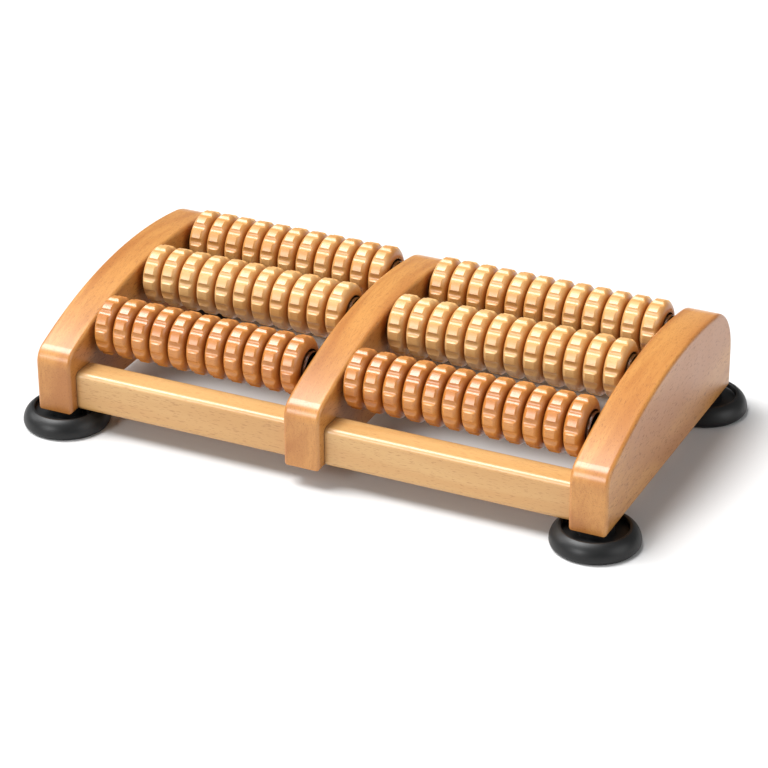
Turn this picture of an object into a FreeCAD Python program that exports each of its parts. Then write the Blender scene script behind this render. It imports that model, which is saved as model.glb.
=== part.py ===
"""Two-bay foot massage roller: three arched boards, rails, axles, six scalloped rollers and feet.

The origin is on the floor under the centre of the object.  +X runs along the rollers to the right,
+Y runs from the front of the boards to their rounded backs, and +Z is up.  Sizes are in millimetres
and are kept in the spreadsheet "dims".
"""
import FreeCAD, Part

import math
import os
from types import SimpleNamespace

import Sketcher
from FreeCAD import Vector

# ---------------------------------------------------------------- driving dimensions

DIMENSIONS = {
    # boards
    "board_thickness": 18.0,
    "board_depth": 156.0,
    "crest_height": 49.2,          # highest point of a board above its underside
    "crest_share": 0.61,           # how far back that point lies, as a share of the depth
    "front_height": 28.8,          # height of the crown over the front of a board
    "knuckle_radius": 9.0,
    "heel_radius": 27.0,
    "board_edge_radius": 1.8,
    # rollers
    "left_discs": 11,
    "right_discs": 12,
    "disc_pitch": 9.6,
    "disc_width": 8.6,
    "disc_radius": 14.0,
    "shoulder_width": 1.9,         # from a disc's flank in to its flat rim
    "shoulder_drop": 4.6,          # from its flat rim down to where the flank starts
    "shoulder_radius": 6.0,
    "core_radius": 8.5,
    "end_boss": 1.9,               # how far the core stands out past the last disc
    "end_play": 0.6,               # gap between the core's end and a board
    "flutes": 11,                  # round the rim of each disc
    "flute_radius": 2.7,
    "flute_depth": 0.95,
    # axles
    "axle_radius": 2.0,
    "bore_clearance": 0.05,        # radial gap between a roller and its axle
    "axle_seat": 12.0,             # how deep an axle sits in an outer board
    "axle_chamfer": 0.4,
    "front_axle_inset": 31.0,      # behind the front of the boards
    "rear_axle_inset": 34.0,       # in front of the back of the boards
    "front_axle_drop": 6.4,        # below the crown of the boards
    "middle_axle_drop": 8.0,
    "rear_axle_drop": 8.0,
    # rails
    "rail_depth": 14.5,
    "rail_drop": 9.4,              # from the crown over the front of a board down to a rail's top
    "rail_setback": 5.0,           # behind the front of the boards, and the same at the back
    "rail_lift": 0.4,              # above the underside of the boards
    "rail_edge_radius": 2.6,
    # dowels
    "dowel_radius": 2.5,
    "dowel_reach": 10.0,           # how deep a dowel sits in a rail
    "dowel_share": 0.47,           # spacing of a rail's two dowels, as a share of its height
    "dowel_relief": 0.5,           # empty depth past a dowel's end
    # feet
    "foot_height": 10.0,           # from the floor to the boards
    "foot_radius": 20.3,
    "foot_base_radius": 18.7,
    "foot_belly_height": 2.3,      # where a foot is widest, above the floor
    "foot_lip_radius": 16.2,
    "foot_lip_width": 1.4,
    "foot_lip_drop": 1.0,          # from the boards down to the top of the lip
    "foot_seat_radius": 8.4,
    "foot_recess": 3.6,            # from the boards down to the floor of the recess
    "foot_inset": 10.0,            # from the front or back of the boards to a foot's centre
    "foot_soften": 0.6,
    # screws and washers
    "screw_radius": 1.75,
    "screw_bite": 13.0,            # how far a screw goes into a board
    "screw_tip": 3.0,
    "screw_point_radius": 0.2,
    "screw_head_radius": 3.6,
    "screw_head_height": 2.0,
    "slot_length": 4.6,
    "slot_width": 0.9,
    "slot_depth": 1.1,
    "washer_radius": 5.4,
    "washer_thickness": 1.0,
    "well_radius": 6.0,            # open well under a foot for the screw's head
    "well_height": 5.0,
}


class Formula:
    """A size worked out from the driving dimensions: its spreadsheet formula and its present value."""

    def __init__(self, text, value):
        self.text = text
        self.value = value

    def _join(self, other, sign, result):
        other_text = other.text if isinstance(other, Formula) else str(other)
        return Formula(f"({self.text} {sign} {other_text})", result)

    def __add__(self, other):
        return self._join(other, "+", self.value + number(other))

    def __sub__(self, other):
        return self._join(other, "-", self.value - number(other))

    def __mul__(self, other):
        return self._join(other, "*", self.value * number(other))

    def __truediv__(self, other):
        return self._join(other, "/", self.value / number(other))

    def __neg__(self):
        return Formula(f"(-{self.text})", -self.value)


def number(item):
    """The present value of a formula or of a plain number."""
    return item.value if isinstance(item, Formula) else item


def root(formula):
    """The square root of a formula."""
    return Formula(f"sqrt({formula.text})", math.sqrt(formula.value))


ZERO = Formula("0", 0.0)
TINY = 1e-4                        # how near counts as touching, when edges are picked

document = FreeCAD.newDocument("foot_massage_roller")
sheet = document.addObject("Spreadsheet::Sheet", "dims")
for row, (alias, value) in enumerate(DIMENSIONS.items(), start=1):
    sheet.set(f"A{row}", alias)
    sheet.set(f"B{row}", str(value))
    sheet.setAlias(f"B{row}", alias)
document.recompute()
d = SimpleNamespace(**{alias: Formula(f"dims.{alias}", value) for alias, value in DIMENSIONS.items()})

# ---------------------------------------------------------------- worked-out sizes

end_gap = d.end_boss + d.end_play
left_stack = (d.left_discs - 1) * d.disc_pitch + d.disc_width
right_stack = (d.right_discs - 1) * d.disc_pitch + d.disc_width
bay_width = {"left": left_stack + end_gap * 2, "right": right_stack + end_gap * 2}
disc_count = {"left": d.left_discs, "right": d.right_discs}
total_width = d.board_thickness * 3 + bay_width["left"] + bay_width["right"]

# the left face of each board and the start of each bay
left_board_x = -(total_width / 2)
bay_x = {"left": left_board_x + d.board_thickness}
middle_board_x = bay_x["left"] + bay_width["left"]
bay_x["right"] = middle_board_x + d.board_thickness
right_board_x = bay_x["right"] + bay_width["right"]

front_y = -(d.board_depth / 2)
crest_y = d.crest_share * d.board_depth
crown_fall = d.crest_height - d.front_height
crown_radius = (crest_y * crest_y / crown_fall + crown_fall) / 2
crown_centre_z = d.crest_height - crown_radius


def crown_height(y):
    """Height of the boards' crown above their underside, at y behind their front."""
    across = y - crest_y
    return crown_centre_z + root(crown_radius * crown_radius - across * across)


# each axle: how far behind the front of the boards, and how far above their underside
rear_axle_y = d.board_depth - d.rear_axle_inset
axle_y = {
    "front": d.front_axle_inset,
    "middle": (d.front_axle_inset + rear_axle_y) / 2,
    "rear": rear_axle_y,
}
axle_drop = {"front": d.front_axle_drop, "middle": d.middle_axle_drop, "rear": d.rear_axle_drop}
axle_z = {row: crown_height(axle_y[row]) - axle_drop[row] for row in axle_y}

# each rail's front face, and the dowels that hold it
rail_y = {"front": d.rail_setback, "rear": d.board_depth - d.rail_setback - d.rail_depth}
rail_height = d.front_height - d.rail_drop - d.rail_lift
dowel_spacing = rail_height * d.dowel_share
lower_dowel_z = d.rail_lift + (rail_height - dowel_spacing) / 2
dowel_places = [
    (rail_y[row] + d.rail_depth / 2, level)
    for row in rail_y
    for level in (lower_dowel_z, lower_dowel_z + dowel_spacing)
]

# in an outer board the dowels stop short of the screws of the feet
dowel_seat = d.board_thickness / 2 - d.screw_radius - d.dowel_relief * 2

foot_y = {"front": d.foot_inset, "rear": d.board_depth - d.foot_inset}
outer_board_x = {"left": left_board_x, "right": right_board_x}
screw_hole_depth = d.screw_bite + d.dowel_relief

parts = []


# ---------------------------------------------------------------- helpers

def bind(thing, prop, formula):
    """Tie one property of an object to the spreadsheet."""
    thing.setExpression(prop, formula.text)


def bind_place(thing, x=ZERO, y=ZERO, z=ZERO):
    """Tie an object's position to the spreadsheet."""
    bind(thing, "Placement.Base.x", x)
    bind(thing, "Placement.Base.y", y)
    bind(thing, "Placement.Base.z", z)


def new_body(name, x, y, z):
    """Make an empty body, the sub-part of that name, with its local origin at the given place."""
    body = document.addObject("PartDesign::Body", f"{name}_body")
    body.Label = name
    bind_place(body, x, y, z)
    parts.append(body)
    return body


def new_sketch(body, name, plane, offset=None):
    """Make a sketch on one of the body's origin planes, moved along its normal by the offset."""
    sketch = body.newObject("Sketcher::SketchObject", f"{body.Label}_{name}")
    support = next(item for item in body.Origin.OriginFeatures if item.Role == plane)
    sketch.AttachmentSupport = [(support, "")]
    sketch.MapMode = "FlatFace"
    if offset is not None:
        bind(sketch, "AttachmentOffset.Base.z", offset)
    return sketch


def pin_point(sketch, geometry, end, x, y):
    """Hold one point of a sketch at (x, y), both tied to the spreadsheet."""
    for kind, formula in (("DistanceX", x), ("DistanceY", y)):
        index = sketch.addConstraint(
            Sketcher.Constraint(kind, -1, 1, geometry, end, formula.value))
        bind(sketch, f"Constraints[{index}]", formula)


def add_circle(sketch, x, y, radius):
    """Add a circle whose centre and radius are tied to the spreadsheet."""
    circle = sketch.addGeometry(Part.Circle(Vector(x.value, y.value, 0), Vector(0, 0, 1), radius.value))
    pin_point(sketch, circle, 3, x, y)
    index = sketch.addConstraint(Sketcher.Constraint("Radius", circle, radius.value))
    bind(sketch, f"Constraints[{index}]", radius)


def arc_between(start, end, radius):
    """The minor arc from start to end whose centre lies to the left of the way there."""
    along = end - start
    left = Vector(-along.y, along.x, 0).normalize()
    centre = (start + end) / 2 + left * math.sqrt(radius ** 2 - along.Length ** 2 / 4)
    return Part.Arc(start, centre - left * radius, end)


def add_outline(sketch, corners, arcs):
    """Add a closed outline, counter-clockwise, with every corner and arc tied to the spreadsheet.

    corners is a list of (x, y); arcs gives the radius of each side, by its first corner, that is an
    arc bulging outwards instead of a line.
    """
    points = [Vector(x.value, y.value, 0) for x, y in corners]
    sides = []
    for index, start in enumerate(points):
        end = points[(index + 1) % len(points)]
        if index in arcs:
            sides.append(sketch.addGeometry(arc_between(start, end, arcs[index].value)))
        else:
            sides.append(sketch.addGeometry(Part.LineSegment(start, end)))
    for index, side in enumerate(sides):
        following = sides[(index + 1) % len(sides)]
        sketch.addConstraint(Sketcher.Constraint("Coincident", side, 2, following, 1))
    for side, (x, y) in zip(sides, corners):
        pin_point(sketch, side, 1, x, y)
    for index, radius in arcs.items():
        datum = sketch.addConstraint(Sketcher.Constraint("Radius", sides[index], radius.value))
        bind(sketch, f"Constraints[{datum}]", radius)


def pad(body, name, sketch, length):
    """Grow a sketch along its normal."""
    feature = body.newObject("PartDesign::Pad", f"{body.Label}_{name}")
    feature.Profile = sketch
    bind(feature, "Length", length)
    return feature


def pocket(body, name, sketch, length, forwards):
    """Cut a sketch into the body, along the sketch's normal or against it."""
    feature = body.newObject("PartDesign::Pocket", f"{body.Label}_{name}")
    feature.Profile = sketch
    feature.Reversed = forwards
    bind(feature, "Length", length)
    before = feature.BaseFeature.Shape.Volume
    document.recompute()
    if not feature.Shape.Volume < before:
        raise ValueError(f"{feature.Name} cuts nothing")
    return feature


def revolve(body, name, sketch, axis):
    """Turn a sketch a full circle about one of its own axes."""
    feature = body.newObject("PartDesign::Revolution", f"{body.Label}_{name}")
    feature.Profile = sketch
    feature.ReferenceAxis = (sketch, [axis])
    feature.Angle = 360
    return feature


def soften(body, name, kind, prop, radius, wanted):
    """Round ("Fillet") or bevel ("Chamfer") the edges of the body's tip that the test accepts."""
    document.recompute()
    base = body.Tip
    names = [f"Edge{i}" for i, edge in enumerate(base.Shape.Edges, start=1) if wanted(edge)]
    feature = body.newObject(f"PartDesign::{kind}", f"{body.Label}_{name}")
    feature.Base = (base, names)
    bind(feature, prop, radius)
    document.recompute()
    return feature


def rectangle(y, z, depth, height):
    """The corners of a rectangle, counter-clockwise from its lower left one."""
    return [(y, z), (y + depth, z), (y + depth, z + height), (y, z + height)]


def is_along_x(edge):
    """True for a straight edge that runs along X."""
    along = edge.Vertexes[-1].Point - edge.Vertexes[0].Point
    return abs(abs(along.x) - edge.Length) < TINY


# ---------------------------------------------------------------- boards

def make_board(name, x):
    """An arched board, standing on its underside with its left face at x."""
    body = new_body(name, x, front_y, d.foot_height)
    profile = new_sketch(body, "profile", "YZ_Plane")
    corners = [
        (ZERO, ZERO),
        (d.board_depth, ZERO),
        (d.board_depth, crown_height(d.board_depth)),
        (ZERO, crown_height(ZERO)),
    ]
    add_outline(profile, corners, arcs={2: crown_radius})
    pad(body, "plank", profile, d.board_thickness)
    soften(body, "knuckle", "Fillet", "Radius", d.knuckle_radius,
           lambda edge: is_along_x(edge) and edge.BoundBox.ZMin > TINY
           and edge.BoundBox.YMax < TINY)
    soften(body, "heel", "Fillet", "Radius", d.heel_radius,
           lambda edge: is_along_x(edge) and edge.BoundBox.ZMin > TINY
           and edge.BoundBox.YMin > d.board_depth.value - TINY)
    soften(body, "edges", "Fillet", "Radius", d.board_edge_radius,
           lambda edge: edge.BoundBox.XMax < TINY
           or edge.BoundBox.XMin > d.board_thickness.value - TINY)
    return body


def bore_board(body, sides):
    """Cut the axle and dowel holes: through the board, or blind from the face towards a bay.

    sides is "through", "right" for a board whose bay lies to its right, or "left".
    """
    offset = ZERO if sides == "left" else d.board_thickness
    axles = new_sketch(body, "axle_places", "YZ_Plane", offset)
    for row in axle_y:
        add_circle(axles, axle_y[row], axle_z[row], d.axle_radius)
    dowels = new_sketch(body, "dowel_places", "YZ_Plane", offset)
    for y, z in dowel_places:
        add_circle(dowels, y, z, d.dowel_radius)
    through = sides == "through"
    pocket(body, "axle_holes", axles, d.board_thickness if through else d.axle_seat, sides == "left")
    dowel_depth = d.board_thickness if through else dowel_seat + d.dowel_relief
    pocket(body, "dowel_holes", dowels, dowel_depth, sides == "left")


def drill_feet(body):
    """Cut the pilot holes for the screws of the two feet, from the underside up."""
    pilots = new_sketch(body, "screw_places", "XY_Plane")
    for y in foot_y.values():
        add_circle(pilots, d.board_thickness / 2, y, d.screw_radius)
    pocket(body, "screw_holes", pilots, screw_hole_depth, True)


left_board = make_board("left_side_board", left_board_x)
bore_board(left_board, "right")
drill_feet(left_board)
middle_board = make_board("middle_board", middle_board_x)
bore_board(middle_board, "through")
right_board = make_board("right_side_board", right_board_x)
bore_board(right_board, "left")
drill_feet(right_board)


# ---------------------------------------------------------------- rails

def make_rail(row, side):
    """A cross bar that fills one bay, with rounded long edges and dowel holes in both ends."""
    body = new_body(f"{row}_{side}_rail", bay_x[side], front_y, d.foot_height)
    section = new_sketch(body, "section", "YZ_Plane")
    add_outline(section, rectangle(rail_y[row], d.rail_lift, d.rail_depth, rail_height), arcs={})
    pad(body, "bar", section, bay_width[side])
    soften(body, "edges", "Fillet", "Radius", d.rail_edge_radius, is_along_x)
    for end, offset, forwards in (("left", ZERO, True), ("right", bay_width[side], False)):
        places = new_sketch(body, f"{end}_dowel_places", "YZ_Plane", offset)
        for level in (lower_dowel_z, lower_dowel_z + dowel_spacing):
            add_circle(places, rail_y[row] + d.rail_depth / 2, level, d.dowel_radius)
        pocket(body, f"{end}_dowel_holes", places, d.dowel_reach + d.dowel_relief, forwards)


for row in ("front", "rear"):
    for side in ("left", "right"):
        make_rail(row, side)


# ---------------------------------------------------------------- axles

def make_axle(row):
    """A plain steel rod from one outer board to the other, with bevelled ends."""
    start = bay_x["left"] - d.axle_seat
    body = new_body(f"{row}_axle", start, front_y + axle_y[row], d.foot_height + axle_z[row])
    section = new_sketch(body, "section", "YZ_Plane")
    add_circle(section, ZERO, ZERO, d.axle_radius)
    pad(body, "rod", section, right_board_x + d.axle_seat - start)
    soften(body, "ends", "Chamfer", "Size", d.axle_chamfer, lambda edge: not is_along_x(edge))


for row in axle_y:
    make_axle(row)


# ---------------------------------------------------------------- rollers

def disc_outline():
    """Half of a disc's section: flat rim, bulging shoulders, and a root inside the core."""
    root_radius = d.core_radius - d.axle_radius
    shoulder = d.disc_radius - d.shoulder_drop
    corners = [
        (ZERO, root_radius),
        (d.disc_width, root_radius),
        (d.disc_width, shoulder),
        (d.disc_width - d.shoulder_width, d.disc_radius),
        (d.shoulder_width, d.disc_radius),
        (ZERO, shoulder),
    ]
    return corners, {2: d.shoulder_radius, 4: d.shoulder_radius}


def make_roller(row, side):
    """A turned roller: a core with end bosses, a row of fluted discs and a bore for the axle."""
    start = bay_x[side] + d.end_play
    body = new_body(f"{row}_{side}_roller", start, front_y + axle_y[row], d.foot_height + axle_z[row])
    core_length = bay_width[side] - d.end_play * 2

    core_section = new_sketch(body, "core_section", "YZ_Plane")
    add_circle(core_section, ZERO, ZERO, d.core_radius)
    pad(body, "core", core_section, core_length)

    # the first disc is drawn about its own left flank, a boss's length from the core's end
    disc_section = new_sketch(body, "disc_section", "XZ_Plane")
    bind(disc_section, "AttachmentOffset.Base.x", d.end_boss)
    corners, arcs = disc_outline()
    add_outline(disc_section, corners, arcs)
    disc = revolve(body, "first_disc", disc_section, "H_Axis")
    document.recompute()

    discs = body.newObject("PartDesign::LinearPattern", f"{body.Label}_discs")
    discs.Originals = [disc]
    discs.Direction = (core_section, ["N_Axis"])
    bind(discs, "Length", (disc_count[side] - 1) * d.disc_pitch)
    bind(discs, "Occurrences", disc_count[side])
    body.Tip = discs
    document.recompute()

    flute_section = new_sketch(body, "flute_section", "YZ_Plane")
    add_circle(flute_section, ZERO, d.disc_radius + d.flute_radius - d.flute_depth, d.flute_radius)
    flute = pocket(body, "first_flute", flute_section, core_length, True)
    ring = body.newObject("PartDesign::PolarPattern", f"{body.Label}_flutes")
    ring.Originals = [flute]
    ring.Axis = (core_section, ["N_Axis"])
    ring.Angle = 360
    bind(ring, "Occurrences", d.flutes)
    body.Tip = ring
    document.recompute()

    bore_section = new_sketch(body, "bore_section", "YZ_Plane")
    add_circle(bore_section, ZERO, ZERO, d.axle_radius + d.bore_clearance)
    pocket(body, "bore", bore_section, core_length, True)


for row in axle_y:
    for side in ("left", "right"):
        make_roller(row, side)


# ---------------------------------------------------------------- feet

def upright_arc(inset, rise):
    """Radius of an arc that is upright at one end and moves in by the inset over the rise."""
    return (rise * rise + inset * inset) / (inset * 2)


def make_foot(row, side):
    """A rubber foot: a low dome with a raised lip round a recess, and a seat for the board."""
    body = new_body(f"{row}_{side}_foot", outer_board_x[side] + d.board_thickness / 2,
                    front_y + foot_y[row], ZERO)
    lip_top = d.foot_height - d.foot_lip_drop
    recess_radius = d.foot_lip_radius - d.foot_lip_width
    recess_floor = d.foot_height - d.foot_recess
    corners = [
        (d.well_radius, ZERO),
        (d.foot_base_radius, ZERO),
        (d.foot_radius, d.foot_belly_height),
        (d.foot_lip_radius, lip_top),
        (recess_radius, lip_top),
        (recess_radius, recess_floor),
        (d.foot_seat_radius, recess_floor),
        (d.foot_seat_radius, d.foot_height),
        (d.screw_radius, d.foot_height),
        (d.screw_radius, d.well_height),
        (d.well_radius, d.well_height),
    ]
    # both sides of the belly are upright where they meet
    flank_radius = upright_arc(d.foot_radius - d.foot_base_radius, d.foot_belly_height)
    dome_radius = upright_arc(d.foot_radius - d.foot_lip_radius, lip_top - d.foot_belly_height)
    section = new_sketch(body, "section", "XZ_Plane")
    add_outline(section, corners, arcs={1: flank_radius, 2: dome_radius})
    revolve(body, "dome", section, "V_Axis")
    soften(body, "lip", "Fillet", "Radius", d.foot_soften,
           lambda edge: abs(edge.BoundBox.XMax - recess_radius.value) < TINY
           and edge.BoundBox.ZLength < TINY)


for row in foot_y:
    for side in outer_board_x:
        make_foot(row, side)


# ---------------------------------------------------------------- fasteners

def upright(kind, name, x, y, z, **sizes):
    """A Part primitive standing on its base at (x, y, z)."""
    solid = document.addObject(kind, name)
    for prop, formula in sizes.items():
        bind(solid, prop, formula)
    bind_place(solid, x, y, z)
    return solid


def join(name, solids):
    """Fuse solids into one object."""
    fused = document.addObject("Part::MultiFuse", f"{name}_solid")
    fused.Shapes = solids
    return fused


def cut(name, base, tool):
    """Cut one solid from another."""
    result = document.addObject("Part::Cut", name)
    result.Base = base
    result.Tool = tool
    return result


def group(name, solids):
    """Make one sub-part of several separate solids."""
    result = join(name, solids)
    result.Label = name
    parts.append(result)


def make_dowels(name, start, length):
    """The wooden dowels at one board: one level with each dowel hole."""
    solids = []
    for index, (y, z) in enumerate(dowel_places):
        peg = document.addObject("Part::Cylinder", f"{name}_peg_{index}")
        bind(peg, "Radius", d.dowel_radius)
        bind(peg, "Height", length)
        peg.Placement.Rotation = FreeCAD.Rotation(Vector(0, 1, 0), 90)
        bind_place(peg, start, front_y + y, d.foot_height + z)
        solids.append(peg)
    group(name, solids)


side_length = dowel_seat + d.dowel_reach
middle_length = d.board_thickness + d.dowel_reach * 2
make_dowels("left_rail_dowels", bay_x["left"] - dowel_seat, side_length)
make_dowels("middle_rail_dowels", middle_board_x - d.dowel_reach, middle_length)
make_dowels("right_rail_dowels", right_board_x - d.dowel_reach, side_length)


def make_screw(row, side):
    """A pan-head screw, head down in a foot's well, with a crossed slot in its head."""
    name = f"{row}_{side}_screw"
    x = outer_board_x[side] + d.board_thickness / 2
    y = front_y + foot_y[row]
    head_z = d.well_height - d.washer_thickness - d.screw_head_height
    neck_z = head_z + d.screw_head_height
    end_z = d.foot_height + d.screw_bite
    head = upright("Part::Cylinder", f"{name}_head", x, y, head_z,
                   Radius=d.screw_head_radius, Height=d.screw_head_height)
    shank = upright("Part::Cylinder", f"{name}_shank", x, y, neck_z,
                    Radius=d.screw_radius, Height=end_z - d.screw_tip - neck_z)
    tip = upright("Part::Cone", f"{name}_tip", x, y, end_z - d.screw_tip,
                  Radius1=d.screw_radius, Radius2=d.screw_point_radius, Height=d.screw_tip)
    blank = join(f"{name}_blank", [head, shank, tip])
    slots = [
        upright("Part::Box", f"{name}_slot_{turn}", x - width / 2, y - depth / 2, head_z,
                Length=width, Width=depth, Height=d.slot_depth)
        for turn, width, depth in (("x", d.slot_length, d.slot_width),
                                   ("y", d.slot_width, d.slot_length))
    ]
    return cut(f"{name}_slotted", blank, join(f"{name}_cross", slots))


def make_washer(row, side):
    """A flat washer between a foot and its screw's head."""
    name = f"{row}_{side}_washer"
    x = outer_board_x[side] + d.board_thickness / 2
    y = front_y + foot_y[row]
    z = d.well_height - d.washer_thickness
    disc = upright("Part::Cylinder", f"{name}_disc", x, y, z,
                   Radius=d.washer_radius, Height=d.washer_thickness)
    hole = upright("Part::Cylinder", f"{name}_hole", x, y, z,
                   Radius=d.screw_radius, Height=d.washer_thickness)
    return cut(f"{name}_ring", disc, hole)


foot_places = [(row, side) for row in foot_y for side in outer_board_x]
group("foot_screws", [make_screw(row, side) for row, side in foot_places])
group("foot_washers", [make_washer(row, side) for row, side in foot_places])


# ---------------------------------------------------------------- check and write

document.recompute()
for thing in document.Objects:
    if "Invalid" in thing.State or "Error" in thing.State:
        raise ValueError(f"{thing.Name} did not build: {thing.State}")
for part in parts:
    if part.Shape.isNull() or not part.Shape.isValid():
        raise ValueError(f"{part.Label} is not a valid solid")

os.makedirs("parts", exist_ok=True)
for part in parts:
    part.Shape.exportStep(f"parts/{part.Label}.step")
    print(f"{part.Label}: {len(part.Shape.Solids)} solid, {part.Shape.Volume / 1000:.2f} cm3")
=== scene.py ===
"""The looks of a foot massage roller: turned fluted rollers, lacquered beech, rubber feet and a studio."""

import logging
import math
import random
from dataclasses import dataclass, field
from enum import Enum
from typing import Callable, Optional, Union

import bmesh
import bpy
from mathutils import Matrix, Vector


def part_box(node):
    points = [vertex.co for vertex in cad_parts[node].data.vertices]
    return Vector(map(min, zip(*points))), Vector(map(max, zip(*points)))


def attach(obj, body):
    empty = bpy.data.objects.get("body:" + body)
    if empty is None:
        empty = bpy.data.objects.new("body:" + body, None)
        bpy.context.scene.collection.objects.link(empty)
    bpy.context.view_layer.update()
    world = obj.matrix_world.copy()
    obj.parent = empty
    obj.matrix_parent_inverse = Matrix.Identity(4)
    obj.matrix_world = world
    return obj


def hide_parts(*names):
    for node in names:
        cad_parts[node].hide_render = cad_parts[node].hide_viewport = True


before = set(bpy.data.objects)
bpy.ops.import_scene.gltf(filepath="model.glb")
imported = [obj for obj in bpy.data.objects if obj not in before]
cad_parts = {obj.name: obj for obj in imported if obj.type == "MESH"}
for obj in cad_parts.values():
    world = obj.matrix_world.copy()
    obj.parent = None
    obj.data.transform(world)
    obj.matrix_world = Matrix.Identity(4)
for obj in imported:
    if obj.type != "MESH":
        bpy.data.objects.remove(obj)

log = logging.getLogger("foot_roller")

MM = 0.001
NEAR = 0.01 * MM
Colour = tuple[float, float, float]
Point = tuple[float, float, float]
Scalar = Union["Wire", float]
Ring = tuple[float, float]


class Side(Enum):
    """The two bays, named as the CAD nodes are."""

    LEFT = "left"
    RIGHT = "right"


class Row(Enum):
    """The three rows of rollers, named as the CAD nodes are."""

    FRONT = "front"
    MIDDLE = "middle"
    REAR = "rear"


class Grain(Enum):
    """How a wood pattern is stretched: its cycles per millimetre along X, Y and Z."""

    ALONG_BOARD = (1.0, 0.08, 0.34)
    ALONG_RAIL = (0.07, 1.0, 0.55)
    ALONG_ROLLER = (0.10, 1.0, 1.0)


# ---------------------------------------------------------------- shader sums


class Wire:
    """A shader socket that can stand in a sum."""

    def __init__(self, recipe: "Recipe", socket: bpy.types.NodeSocket) -> None:
        """Keeps the socket and the recipe whose nodes it belongs to."""
        self.recipe = recipe
        self.socket = socket

    def _sum(self, operation: str, first: Scalar, second: Scalar) -> "Wire":
        """A Math node on two values."""
        return self.recipe.node("ShaderNodeMath", {"operation": operation}, {0: first, 1: second})

    def __add__(self, other: Scalar) -> "Wire":
        """This value plus another."""
        return self._sum("ADD", self, other)

    def __sub__(self, other: Scalar) -> "Wire":
        """This value less another."""
        return self._sum("SUBTRACT", self, other)

    def __rsub__(self, other: float) -> "Wire":
        """A number less this value."""
        return self._sum("SUBTRACT", other, self)

    def __mul__(self, other: Scalar) -> "Wire":
        """This value times another."""
        return self._sum("MULTIPLY", self, other)

    __radd__ = __add__
    __rmul__ = __mul__


class Recipe:
    """One material's node tree, round a single Principled shader."""

    MIX_FACTOR = 0
    MIX_FIRST = 6
    MIX_SECOND = 7
    MIX_RESULT = 2

    def __init__(self, name: str) -> None:
        """Starts an empty material.

        Args:
            name: the material's name.
        """
        self.material = bpy.data.materials.new(name)
        self.material.use_nodes = True
        self.tree = self.material.node_tree
        self.tree.nodes.clear()

    def node(
        self,
        kind: str,
        settings: Optional[dict] = None,
        sockets: Optional[dict] = None,
        output: Union[int, str] = 0,
    ) -> Wire:
        """Adds a node.

        Args:
            kind: the node's type.
            settings: its settings, set first.
            sockets: values or wires for its input sockets, by name or number.
            output: the output socket that is wanted.

        Returns:
            The wanted output.
        """
        made = self.tree.nodes.new(kind)
        for name, value in (settings or {}).items():
            setattr(made, name, value)
        for name, value in (sockets or {}).items():
            if isinstance(value, Wire):
                self.tree.links.new(value.socket, made.inputs[name])
            else:
                made.inputs[name].default_value = value
        return Wire(self, made.outputs[output] if len(made.outputs) else None)

    def mapped(self, scale: Point, shift: Point = (0, 0, 0)) -> Wire:
        """Object coordinates, stretched and then shifted.

        Args:
            scale: cycles per millimetre along X, Y and Z.
            shift: where the pattern starts, in cycles.

        Returns:
            The stretched coordinates.
        """
        place = self.node("ShaderNodeTexCoord", output="Object")
        return self.node(
            "ShaderNodeMapping",
            {"vector_type": "POINT"},
            {"Vector": place, "Location": shift, "Scale": tuple(part / MM for part in scale)},
        )

    def noise(self, where: Wire, scale: float, detail: float = 3.0, distortion: float = 0.0) -> Wire:
        """Noise between about 0.3 and 0.7 at the given coordinates."""
        return self.node(
            "ShaderNodeTexNoise",
            {"noise_dimensions": "3D"},
            {"Vector": where, "Scale": scale, "Detail": detail, "Distortion": distortion},
            "Fac",
        )

    def step(self, value: Scalar, low: float, high: float) -> Wire:
        """Rises smoothly from 0 at low to 1 at high, or falls where low is the greater."""
        return self.node(
            "ShaderNodeMapRange",
            {"interpolation_type": "SMOOTHSTEP"},
            {"Value": value, "From Min": low, "From Max": high},
        )

    def mix(self, share: Scalar, first: Union[Wire, Colour], second: Union[Wire, Colour]) -> Wire:
        """Blends two colours.

        Args:
            share: how much of the second colour.
            first: the first colour.
            second: the second colour.

        Returns:
            The blended colour.
        """
        colours = [c if isinstance(c, Wire) else (*c, 1.0) for c in (first, second)]
        return self.node(
            "ShaderNodeMix",
            {"data_type": "RGBA", "blend_type": "MIX"},
            {self.MIX_FACTOR: share, self.MIX_FIRST: colours[0], self.MIX_SECOND: colours[1]},
            self.MIX_RESULT,
        )

    def bump(self, height: Wire, strength: float, depth: float) -> Wire:
        """A normal pushed about by a height, which is full at depth metres."""
        sockets = {"Strength": strength, "Distance": depth, "Height": height}
        return self.node("ShaderNodeBump", sockets=sockets)

    def finish(self, sockets: dict) -> bpy.types.Material:
        """Joins the Principled shader to the output.

        Args:
            sockets: values or wires for the shader's sockets.

        Returns:
            The finished material.
        """
        shader = self.node("ShaderNodeBsdfPrincipled", sockets=sockets)
        self.node("ShaderNodeOutputMaterial", sockets={"Surface": shader})
        return self.material


# ---------------------------------------------------------------- finishes


@dataclass(frozen=True)
class Pattern:
    """A noise and the two values between which it rises from nothing to full."""

    scale: float
    detail: float
    distortion: float
    low: float
    high: float

    def draw(self, recipe: Recipe, where: Wire) -> Wire:
        """Adds the pattern at the given coordinates, as a value from 0 to 1."""
        return recipe.step(recipe.noise(where, self.scale, self.detail, self.distortion), self.low, self.high)


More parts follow.
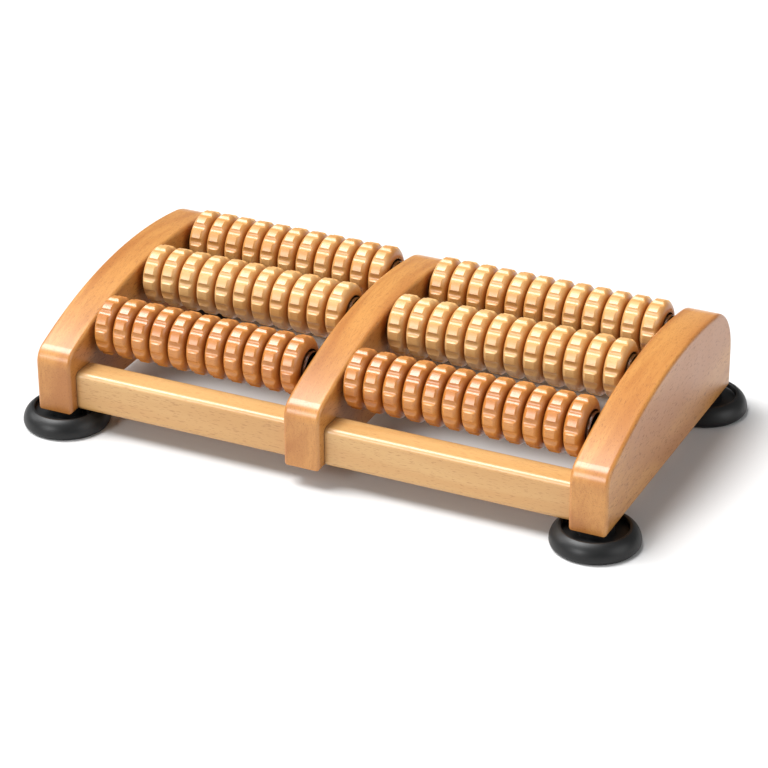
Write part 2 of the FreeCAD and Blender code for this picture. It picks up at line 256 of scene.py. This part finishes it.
@dataclass(frozen=True)
class WoodFinish:
    """Lacquered beech: drifting tone, growth lines, short dark flecks and fine pores under a clear coat."""

    name: str
    grain: Grain
    pale: Colour
    rich: Colour
    fleck: Colour
    fleck_share: float = 0.45
    line_share: float = 0.25
    roughness: float = 0.42
    coat: float = 0.45
    coat_roughness: float = 0.24
    start: Point = (0.0, 0.0, 0.0)
    drift: Pattern = Pattern(scale=0.09, detail=2.0, distortion=0.6, low=0.36, high=0.64)
    growth: Pattern = Pattern(scale=0.75, detail=3.0, distortion=0.3, low=0.44, high=0.70)
    specks: Pattern = Pattern(scale=4.2, detail=2.0, distortion=0.0, low=0.575, high=0.66)
    pore_scale: float = 5.0
    cloud_stretch: Point = (0.05, 0.05, 0.05)
    cloud_roughness: float = 0.12
    fleck_roughness: float = 0.08
    fleck_sink: float = 0.5
    bump_strength: float = 0.18
    bump_depth: float = 0.05 * MM

    def tone(self, recipe: Recipe) -> tuple[Wire, Wire]:
        """The wood's colour before any stain.

        Args:
            recipe: the material being made.

        Returns:
            The colour, and the flecks as a value from 0 to 1.
        """
        along = recipe.mapped(self.grain.value, self.start)
        flecks = self.specks.draw(recipe, along)
        colour = recipe.mix(self.drift.draw(recipe, along), self.pale, self.rich)
        colour = recipe.mix(self.growth.draw(recipe, along) * self.line_share, colour, self.rich)
        colour = recipe.mix(flecks * self.fleck_share, colour, self.fleck)
        return colour, flecks

    def paint_shade(self, recipe: Recipe, colour: Wire) -> Wire:
        """Leaves the colour as it is; a turned finish and a rail add painted shade."""
        return colour

    def make(self) -> bpy.types.Material:
        """Builds the material."""
        recipe = Recipe(self.name)
        colour, flecks = self.tone(recipe)
        pores = recipe.noise(recipe.mapped(self.grain.value, self.start), self.pore_scale, detail=2.0)
        cloud = recipe.noise(recipe.mapped(self.cloud_stretch, self.start), 1.0, detail=2.0)
        smoothest = self.roughness - self.cloud_roughness / 2
        height = pores - flecks * self.fleck_sink
        return recipe.finish({
            "Base Color": self.paint_shade(recipe, colour),
            "Roughness": smoothest + cloud * self.cloud_roughness + flecks * self.fleck_roughness,
            "Coat Weight": self.coat,
            "Coat Roughness": self.coat_roughness,
            "Normal": recipe.bump(height, self.bump_strength, self.bump_depth),
        })


@dataclass(frozen=True)
class TurnedFinish(WoodFinish):
    """Beech turned on a lathe, with painted shade in the flutes, between the discs and round the core."""

    axis: tuple[float, float] = (0.0, 0.0)
    rim_radius: float = 13.86
    flute_depth: float = 0.95
    gap_depth: tuple[float, float] = (0.9, 4.4)
    core_depth: tuple[float, float] = (4.5, 5.6)
    # painted shade: the colour painted into the flutes and the gaps between the discs; the next colour is the
    # painted shade at the core
    painted_shade_colour: Colour = (0.2, 0.08, 0.03)
    shadow: Colour = (0.07, 0.021, 0.005)
    flute_share: float = 0.15
    gap_share: float = 0.9
    core_share: float = 0.45
    flute_start: float = 0.2

    def paint_shade(self, recipe: Recipe, colour: Wire) -> Wire:
        """Paints shade on what lies under the rim, by its distance from the roller's axis: the flutes, the
        gaps between the discs and the core.

        Args:
            recipe: the material being made.
            colour: the bare wood's colour.

        Returns:
            The colour with the painted shade.
        """
        across = (0.0, -self.axis[0] / MM, -self.axis[1] / MM)
        centred = recipe.mapped((0.0, 1.0, 1.0), across)
        radius = recipe.node("ShaderNodeVectorMath", {"operation": "LENGTH"}, {0: centred}, "Value")
        fall = self.rim_radius - radius
        flute = recipe.step(fall, self.flute_start, self.flute_depth)
        gap = recipe.step(fall, *self.gap_depth)
        core = recipe.step(fall, *self.core_depth)
        # painted shade: the flutes, the gaps between the discs and the core darken with their depth under the
        # rim
        colour = recipe.mix(flute * self.flute_share, colour, self.painted_shade_colour)
        colour = recipe.mix(gap * self.gap_share, colour, self.painted_shade_colour)
        return recipe.mix(core * self.core_share, colour, self.shadow)


@dataclass(frozen=True)
class RailFinish(WoodFinish):
    """Beech with a painted shadow line where its ends meet the boards."""

    middle: float = 0.0
    half_length: float = 50.0
    line_width: float = 0.7
    # painted shade: the colour of the shadow line painted at the rail's ends
    painted_joint_shade: Colour = (0.07, 0.025, 0.007)
    painted_joint_shade_share: float = 0.8

    def paint_shade(self, recipe: Recipe, colour: Wire) -> Wire:
        """Paints a shadow line on the wood close to the rail's two ends, where they meet the boards.

        Args:
            recipe: the material being made.
            colour: the bare wood's colour.

        Returns:
            The colour with the painted shadow line.
        """
        centred = recipe.mapped((1.0, 0.0, 0.0), (-self.middle, 0.0, 0.0))
        across = recipe.node("ShaderNodeVectorMath", {"operation": "LENGTH"}, {0: centred}, "Value")
        # painted shade: the line at each end stands in for the contact shadow where the rail meets a board
        ends = recipe.step(across, self.half_length - self.line_width, self.half_length)
        return recipe.mix(ends * self.painted_joint_shade_share, colour, self.painted_joint_shade)


@dataclass(frozen=True)
class RubberFinish:
    """Moulded black rubber with a satin skin and a trace of dust."""

    name: str = "black_rubber"
    black: Colour = (0.005, 0.0055, 0.006)
    dusty: Colour = (0.011, 0.011, 0.011)
    roughness: float = 0.42
    cloud_roughness: float = 0.1
    cloud_stretch: Point = (0.12, 0.12, 0.12)
    skin_stretch: Point = (3.0, 3.0, 3.0)
    shine: float = 0.35

    def make(self) -> bpy.types.Material:
        """Builds the material."""
        recipe = Recipe(self.name)
        cloud = recipe.noise(recipe.mapped(self.cloud_stretch), 1.0)
        skin = recipe.noise(recipe.mapped(self.skin_stretch), 1.0, detail=2.0)
        return recipe.finish({
            "Base Color": recipe.mix(cloud, self.black, self.dusty),
            "Roughness": self.roughness - self.cloud_roughness / 2 + cloud * self.cloud_roughness,
            "Specular IOR Level": self.shine,
            "Normal": recipe.bump(skin, strength=0.12, depth=0.03 * MM),
        })


@dataclass(frozen=True)
class MetalFinish:
    """Drawn or plated steel with fine lines along its length."""

    name: str
    bright: Colour
    dull: Colour
    stretch: Point
    roughness: float = 0.3
    line_roughness: float = 0.15

    def make(self) -> bpy.types.Material:
        """Builds the material."""
        recipe = Recipe(self.name)
        lines = recipe.noise(recipe.mapped(self.stretch), 1.0)
        return recipe.finish({
            "Base Color": recipe.mix(lines, self.dull, self.bright),
            "Roughness": self.roughness + lines * self.line_roughness,
            "Metallic": 1.0,
            "Normal": recipe.bump(lines, strength=0.1, depth=0.02 * MM),
        })


# ---------------------------------------------------------------- bench tools


def clear_selection() -> None:
    """Leaves edit mode and deselects every object."""
    if bpy.context.object and bpy.context.object.mode != "OBJECT":
        bpy.ops.object.mode_set(mode="OBJECT")
    bpy.ops.object.select_all(action="DESELECT")


def pick_object(piece: bpy.types.Object) -> None:
    """Selects one object and makes it the active one."""
    clear_selection()
    piece.select_set(True)
    bpy.context.view_layer.objects.active = piece


def pick_points(piece: bpy.types.Object, wanted: Callable[[Vector], bool]) -> None:
    """Selects points of the piece being edited, and the edges between them.

    Args:
        piece: the object in edit mode.
        wanted: tells from a point's place whether it is wanted.
    """
    mesh = bmesh.from_edit_mesh(piece.data)
    for point in mesh.verts:
        point.select_set(wanted(point.co))
    mesh.select_flush(True)
    bmesh.update_edit_mesh(piece.data)


def dress(piece: bpy.types.Object, material: bpy.types.Material) -> None:
    """Gives a piece one material in place of those it has."""
    piece.data.materials.clear()
    piece.data.materials.append(material)


def dress_node(node: str, material: bpy.types.Material) -> None:
    """Gives a carried-over CAD node a material through its object's slots."""
    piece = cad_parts[node]
    for slot in piece.material_slots:
        slot.link = "OBJECT"
        slot.material = material
    log.info("%s keeps its CAD shape, dressed as %s", node, material.name)


# ---------------------------------------------------------------- rollers


def row_axis(row: Row) -> tuple[float, float]:
    """The place of a row's axle, as (y, z)."""
    low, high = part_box(f"{row.value}_axle")
    return (low.y + high.y) / 2, (low.z + high.z) / 2


def extrude_ring(piece: bpy.types.Object, axis: tuple[float, float], start: Ring, end: Ring) -> None:
    """Extrudes one ring of a turned piece along X and brings it to a new radius.

    Args:
        piece: the object in edit mode.
        axis: the piece's axis along X, as (y, z).
        start: the ring's place along X and its radius.
        end: the new ring's place along X and its radius.
    """
    middle = Vector((0, *axis))

    def in_ring(place: Vector) -> bool:
        """Tells whether a point lies on the first ring."""
        arm = place - middle
        return abs(place.x - start[0]) < NEAR and abs(math.hypot(arm.y, arm.z) - start[1]) < NEAR

    pick_points(piece, in_ring)
    bpy.ops.mesh.extrude_region_move(TRANSFORM_OT_translate={"value": (end[0] - start[0], 0, 0)})
    growth = end[1] / start[1]
    bpy.ops.transform.resize(value=(1, growth, growth), center_override=(end[0], *axis))


@dataclass(frozen=True)
class Disc:
    """One fluted disc of a roller, turned round the X axis.

    Its flanks are arcs that start at half the width and the flare, and end at the flat rim.
    """

    flutes: int = 11
    pitch: float = 9.6 * MM
    width: float = 8.6 * MM
    radius: float = 13.86 * MM
    core_radius: float = 8.5 * MM
    flare: float = 0.3 * MM
    rim_width: float = 4.2 * MM
    flank_drop: float = 4.6 * MM
    flank_turn: float = math.radians(64)
    flute_radius: float = 2.7 * MM
    flute_depth: float = 0.95 * MM
    flank_steps: int = 9
    land_steps: int = 2
    step_angle: float = math.radians(1.6)

    @property
    def steps_per_flute(self) -> int:
        """How many points lie round the rim from one flute to the next."""
        return round(math.tau / self.flutes / self.step_angle)

    @property
    def points(self) -> int:
        """How many points lie round the whole rim."""
        return self.flutes * self.steps_per_flute

    def profile(self) -> list[Ring]:
        """The disc's half section as (place along X, radius), from one core edge to the other."""
        half = self.width / 2 + self.flare
        land = self.rim_width / 2
        across = (half - land) / (1 - math.cos(self.flank_turn))
        upwards = self.flank_drop / math.sin(self.flank_turn)
        rising = [(-self.pitch / 2, self.core_radius), (-half, self.core_radius)]
        for step in range(self.flank_steps + 1):
            turn = self.flank_turn * step / self.flank_steps
            inwards = across * (1 - math.cos(turn))
            rising.append((inwards - half, self.radius - self.flank_drop + upwards * math.sin(turn)))
        spacing = 2 * land / self.land_steps
        rim = [(-land + spacing * step, self.radius) for step in range(1, self.land_steps)]
        return rising + rim + [(-x, radius) for x, radius in reversed(rising)]

    def flute_floor(self, steps_away: int) -> float:
        """How far from the axis a flute's floor lies, a number of steps from its middle."""
        turn = steps_away * math.tau / self.points
        centre = self.radius + self.flute_radius - self.flute_depth
        reach = self.flute_radius**2 - (centre * math.sin(turn)) ** 2
        return centre * math.cos(turn) - math.sqrt(reach) if reach > 0 else self.radius

    def steps_from_flute(self, place: Vector) -> int:
        """How many steps round the rim a point lies from the nearest flute's middle."""
        steps = round(math.atan2(place.z, place.y) / math.tau * self.points) % self.steps_per_flute
        return min(steps, self.steps_per_flute - steps)

    def press_flutes(self, disc: bpy.types.Object, ring: Ring) -> None:
        """Brings the points of one ring that lie over a flute down to its floor.

        Args:
            disc: the disc in edit mode.
            ring: the ring's place along X and its radius.
        """
        x, radius = ring
        for steps in range(self.steps_per_flute // 2):
            floor = self.flute_floor(steps)
            if floor > radius - NEAR:
                continue
            pick_points(
                disc,
                lambda place: abs(place.x - x) < NEAR
                and abs(math.hypot(place.y, place.z) - radius) < NEAR
                and self.steps_from_flute(place) == steps,
            )
            depth = floor / radius
            bpy.ops.transform.resize(value=(1, depth, depth), center_override=(x, 0, 0))

    def turn(self) -> bpy.types.Object:
        """Extrudes the disc's rings from a circle and presses its flutes.

        Returns:
            The disc, open at both ends, with its middle at the origin.
        """
        clear_selection()
        bpy.ops.mesh.primitive_circle_add(
            vertices=self.points,
            radius=self.core_radius,
            location=(-self.pitch / 2, 0, 0),
            rotation=(0, math.pi / 2, 0),
        )
        disc = bpy.context.object
        bpy.ops.object.transform_apply(location=True, rotation=True, scale=True)
        bpy.ops.object.mode_set(mode="EDIT")
        bpy.ops.mesh.select_mode(type="VERT")
        rings = self.profile()
        for start, end in zip(rings, rings[1:]):
            extrude_ring(disc, (0, 0), start, end)
        for ring in rings:
            self.press_flutes(disc, ring)
        bpy.ops.object.mode_set(mode="OBJECT")
        return disc


@dataclass(frozen=True)
class Roller:
    """A roller: discs in a row on one core, bored from end to end.

    most_turn says how many steps a disc may be turned either way, so that the flutes don't all line up.
    """

    row: Row
    side: Side
    disc: Disc
    boss: float = 1.9 * MM
    boss_radius: float = 7.6 * MM
    chamfer: float = 0.4 * MM
    bore_radius: float = 2.05 * MM
    most_turn: int = 1
    smooth_angle: float = math.radians(30)

    @property
    def name(self) -> str:
        """The CAD node and body that this roller stands for."""
        return f"{self.row.value}_{self.side.value}_roller"

    @property
    def axis(self) -> tuple[float, float]:
        """The place of the roller's axis, as (y, z)."""
        return row_axis(self.row)

    def thread_discs(self, master: bpy.types.Object) -> bpy.types.Object:
        """Sets copies of a disc side by side along the roller's place in the CAD model.

        Args:
            master: the disc, with its middle at the origin.

        Returns:
            The joined row of discs, open at both ends.
        """
        low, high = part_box(self.name)
        spare = high.x - low.x - 2 * self.boss - self.disc.width
        count = round(spare / self.disc.pitch) + 1
        hand = random.Random(self.name)
        discs = []
        for number in range(count):
            disc = master.copy()
            disc.data = master.data.copy()
            bpy.context.scene.collection.objects.link(disc)
            x = low.x + self.boss + self.disc.width / 2 + number * self.disc.pitch
            steps = hand.randint(-self.most_turn, self.most_turn)
            disc.location = (x, *self.axis)
            disc.rotation_euler.x = steps * math.tau / self.disc.points
            discs.append(disc)
        clear_selection()
        for disc in discs:
            disc.select_set(True)
        bpy.context.view_layer.objects.active = discs[0]
        bpy.ops.object.join()
        bpy.ops.object.transform_apply(location=True, rotation=True, scale=True)
        return discs[0]

    def close_ends(self, roller: bpy.types.Object) -> None:
        """Adds the bosses at both ends and joins them through the bore.

        Args:
            roller: the row of discs.
        """
        low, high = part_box(self.name)
        axis = self.axis
        edge = self.boss - (self.disc.pitch - self.disc.width) / 2
        chamfer = self.chamfer
        mouth = self.bore_radius + chamfer
        for end, inwards in ((low.x, 1), (high.x, -1)):
            rings = [
                (end + inwards * edge, self.disc.core_radius),
                (end + inwards * edge, self.boss_radius),
                (end + inwards * chamfer, self.boss_radius),
                (end, self.boss_radius - chamfer),
                (end, mouth),
                (end + inwards * chamfer, self.bore_radius),
            ]
            for start, stop in zip(rings, rings[1:]):
                extrude_ring(roller, axis, start, stop)
        bore = self.bore_radius + NEAR
        pick_points(roller, lambda place: math.hypot(place.y - axis[0], place.z - axis[1]) < bore)
        bpy.ops.mesh.bridge_edge_loops()

    def build(self, master: bpy.types.Object) -> bpy.types.Object:
        """Makes the roller's mesh.

        Args:
            master: the disc that it is made of.

        Returns:
            The roller in its place, named as its CAD node is.
        """
        roller = self.thread_discs(master)
        pick_object(roller)
        bpy.ops.object.mode_set(mode="EDIT")
        bpy.ops.mesh.select_mode(type="VERT")
        bpy.ops.mesh.select_all(action="SELECT")
        bpy.ops.mesh.remove_doubles(threshold=NEAR)
        self.close_ends(roller)
        bpy.ops.mesh.select_all(action="SELECT")
        bpy.ops.mesh.normals_make_consistent(inside=False)
        bpy.ops.object.mode_set(mode="OBJECT")
        bpy.ops.object.shade_smooth_by_angle(angle=self.smooth_angle)
        roller.name = f"turned_{self.name}"
        roller.data.name = roller.name
        return roller

    def fit(self, roller: bpy.types.Object, material: bpy.types.Material) -> None:
        """Dresses the roller and hangs it on its body.

        Args:
            roller: the finished mesh.
            material: the wood it is turned from.
        """
        dress(roller, material)
        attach(roller, self.name)
        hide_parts(self.name)
        log.info("%s: %d faces", roller.name, len(roller.data.polygons))


@dataclass
class RollerBank:
    """The six rollers, each row in its own shade of beech."""

    disc: Disc = field(default_factory=Disc)

    def finish_for(self, row: Row) -> TurnedFinish:
        """The wood of one row.

        Args:
            row: which row.

        Returns:
            Its finish, centred on the row's axis.
        """
        axis = row_axis(row)
        # Each row's darkest colour below is the painted shade in its flutes and between its discs.
        if row is Row.FRONT:
            return TurnedFinish(
                name="front_roller_beech", grain=Grain.ALONG_ROLLER, axis=axis, start=(3.0, 0.0, 5.0),
                pale=(0.547, 0.225, 0.045), rich=(0.427, 0.143, 0.021), fleck=(0.24, 0.068, 0.0105),
                painted_shade_colour=(0.270, 0.068, 0.0075), coat=0.5, roughness=0.38,
            )
        if row is Row.MIDDLE:
            return TurnedFinish(
                name="middle_roller_beech", grain=Grain.ALONG_ROLLER, axis=axis, start=(7.0, 2.0, 1.0),
                pale=(0.675, 0.413, 0.165), rich=(0.615, 0.315, 0.098), fleck=(0.413, 0.180, 0.045),
                painted_shade_colour=(0.465, 0.173, 0.030), coat=0.35,
            )
        return TurnedFinish(
            name="rear_roller_beech", grain=Grain.ALONG_ROLLER, axis=axis, start=(11.0, 4.0, 3.0),
            pale=(0.645, 0.360, 0.128), rich=(0.562, 0.262, 0.068), fleck=(0.338, 0.128, 0.026),
            painted_shade_colour=(0.413, 0.135, 0.015), coat=0.4,
        )

    def build(self) -> None:
        """Makes all six rollers from copies of one disc."""
        master = self.disc.turn()
        for row in Row:
            material = self.finish_for(row).make()
            for side in Side:
                roller = Roller(row, side, self.disc)
                roller.fit(roller.build(master), material)
        bpy.data.objects.remove(master)


# ---------------------------------------------------------------- boards and rails


@dataclass
class Woodwork:
    """The three boards, the four rails and their dowels."""

    pale: Colour = (0.517, 0.232, 0.054)
    rich: Colour = (0.390, 0.143, 0.026)
    fleck: Colour = (0.188, 0.056, 0.009)

    def dress_boards(self) -> None:
        """Gives each board its own stretch of the same dyed beech."""
        for number, node in enumerate(("left_side_board", "middle_board", "right_side_board")):
            finish = WoodFinish(
                name=f"{node}_beech", grain=Grain.ALONG_BOARD,
                pale=self.pale, rich=self.rich, fleck=self.fleck,
                fleck_share=0.5, line_share=0.5, start=(17.0 * number, 5.0 * number, 9.0 * number),
            )
            dress_node(node, finish.make())

    def dress_rails(self) -> None:
        """Gives each rail its own stretch of pale beech with a painted shadow line at each end, and the
        dowels plain raw beech.
        """
        for number, (end, side) in enumerate((e, s) for e in ("front", "rear") for s in Side):
            node = f"{end}_{side.value}_rail"
            low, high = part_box(node)
            finish = RailFinish(
                name=f"{node}_beech", grain=Grain.ALONG_RAIL,
                pale=(0.578, 0.345, 0.135), rich=(0.517, 0.277, 0.094), fleck=(0.315, 0.128, 0.038),
                fleck_share=0.5, start=(3.0 * number, 13.0 * number, 7.0 * number),
                middle=(low.x + high.x) / 2 / MM, half_length=(high.x - low.x) / 2 / MM,
            )
            dress_node(node, finish.make())
        raw = WoodFinish(
            name="dowel_beech", grain=Grain.ALONG_RAIL,
            pale=(0.525, 0.360, 0.188), rich=(0.450, 0.285, 0.135), fleck=(0.300, 0.165, 0.068),
            roughness=0.65, coat=0.0,
        ).make()
        for node in ("left_rail_dowels", "middle_rail_dowels", "right_rail_dowels"):
            dress_node(node, raw)

    def build(self) -> None:
        """Dresses all the flat wooden pieces."""
        self.dress_boards()
        self.dress_rails()


# ---------------------------------------------------------------- feet and metal


@dataclass
class Fittings:
    """The rubber feet, their screws and washers, and the axles."""

    def dress_feet(self) -> None:
        """Gives the four feet one black rubber."""
        rubber = RubberFinish().make()
        for end in ("front", "rear"):
            for side in Side:
                dress_node(f"{end}_{side.value}_foot", rubber)

    def dress_metal(self) -> None:
        """Gives the axles drawn steel, and the screws and washers zinc."""
        drawn = MetalFinish("drawn_steel", (0.62, 0.62, 0.64), (0.45, 0.45, 0.47), (0.05, 3.0, 3.0)).make()
        for row in Row:
            dress_node(f"{row.value}_axle", drawn)
        zinc = MetalFinish("zinc_plate", (0.72, 0.72, 0.68), (0.52, 0.53, 0.50), (1.2, 1.2, 1.2), 0.35).make()
        for node in ("foot_screws", "foot_washers"):
            dress_node(node, zinc)

    def build(self) -> None:
        """Dresses the rubber and the metal."""
        self.dress_feet()
        self.dress_metal()


# ---------------------------------------------------------------- studio


@dataclass(frozen=True)
class Viewpoint:
    """Where the camera stands: angles in degrees, lengths in metres."""

    azimuth: float = 25.61
    elevation: float = 27.59
    roll: float = -0.355
    distance: float = 1.370
    aim: Point = (0.0096, -0.0223, 0.029)
    lens: float = 140.7
    sensor_width: float = 36.0
    nearest: float = 0.05

    def place(self) -> None:
        """Makes the camera and hands it to the scene."""
        round_by, up_by, roll = (math.radians(a) for a in (self.azimuth, self.elevation, self.roll))
        back = Vector((
            math.sin(round_by) * math.cos(up_by),
            -math.cos(round_by) * math.cos(up_by),
            math.sin(up_by),
        ))
        level = Vector((0, 0, 1)).cross(back).normalized()
        upright = back.cross(level)
        right = level * math.cos(roll) + upright * math.sin(roll)
        up = back.cross(right)
        camera = bpy.data.objects.new("camera", bpy.data.cameras.new("camera"))
        camera.data.lens = self.lens
        camera.data.sensor_width = self.sensor_width
        camera.data.clip_start = self.nearest
        turn = Matrix((right, up, back)).transposed().to_4x4()
        camera.matrix_world = Matrix.Translation(Vector(self.aim) + back * self.distance) @ turn
        bpy.context.scene.collection.objects.link(camera)
        bpy.context.scene.camera = camera


@dataclass(frozen=True)
class Lamp:
    """A far, round, soft light: its direction, its power and how wide it looks in degrees."""

    name: str
    comes_from: Point
    power: float
    spread: float

    def hang(self) -> None:
        """Adds the light to the scene."""
        light = bpy.data.lights.new(self.name, "SUN")
        light.energy = self.power
        light.angle = math.radians(self.spread)
        holder = bpy.data.objects.new(self.name, light)
        holder.rotation_mode = "QUATERNION"
        holder.rotation_quaternion = Vector(self.comes_from).to_track_quat("Z", "Y")
        bpy.context.scene.collection.objects.link(holder)


@dataclass(frozen=True)
class Studio:
    """A plain pale floor under soft light."""

    floor_size: float = 30.0
    floor_drop: float = 0.02 * MM
    floor_mottle: float = 0.02
    mottle_stretch: Point = (0.002, 0.002, 0.002)
    floor_colour: Colour = (0.62, 0.62, 0.62)
    sky: float = 0.22
    lamps: tuple[Lamp, ...] = (
        Lamp("key", (-0.38, -0.08, 0.92), 4.5, 34.0),
        Lamp("front", (-0.34, -0.84, 0.42), 1.4, 20.0),
        Lamp("left_side", (-0.84, -0.06, 0.54), 0.8, 26.0),
        Lamp("right_fill", (0.90, -0.06, 0.42), 0.9, 40.0),
    )

    def lay_floor(self) -> None:
        """Lays the floor just under the feet."""
        clear_selection()
        bpy.ops.mesh.primitive_plane_add(size=self.floor_size, location=(0, 0, -self.floor_drop))
        floor = bpy.context.object
        floor.name = "floor"
        recipe = Recipe("floor_paper")
        mottle = recipe.noise(recipe.mapped(self.mottle_stretch), 1.0, detail=2.0)
        paler = tuple(part + self.floor_mottle for part in self.floor_colour)
        dress(floor, recipe.finish({
            "Base Color": recipe.mix(mottle, self.floor_colour, paler),
            "Roughness": 0.9,
            "Specular IOR Level": 0.0,
        }))

    def hang_lights(self) -> None:
        """Sets a dim white surround and the lamps."""
        world = bpy.data.worlds.new("surround")
        world.use_nodes = True
        background = world.node_tree.nodes["Background"]
        background.inputs["Color"].default_value = (1.0, 1.0, 1.0, 1.0)
        background.inputs["Strength"].default_value = self.sky
        bpy.context.scene.world = world
        for lamp in self.lamps:
            lamp.hang()

    def build(self) -> None:
        """Makes the floor and the lights."""
        self.lay_floor()
        self.hang_lights()
        bpy.context.scene.view_settings.view_transform = "Standard"


# ---------------------------------------------------------------- assembly


def main() -> None:
    """Builds the studio and every piece in order."""
    logging.basicConfig(level=logging.INFO, format="%(name)s: %(message)s")
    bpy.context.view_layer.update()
    Viewpoint().place()
    Studio().build()
    RollerBank().build()
    Woodwork().build()
    Fittings().build()


if __name__ == "__main__":
    main()
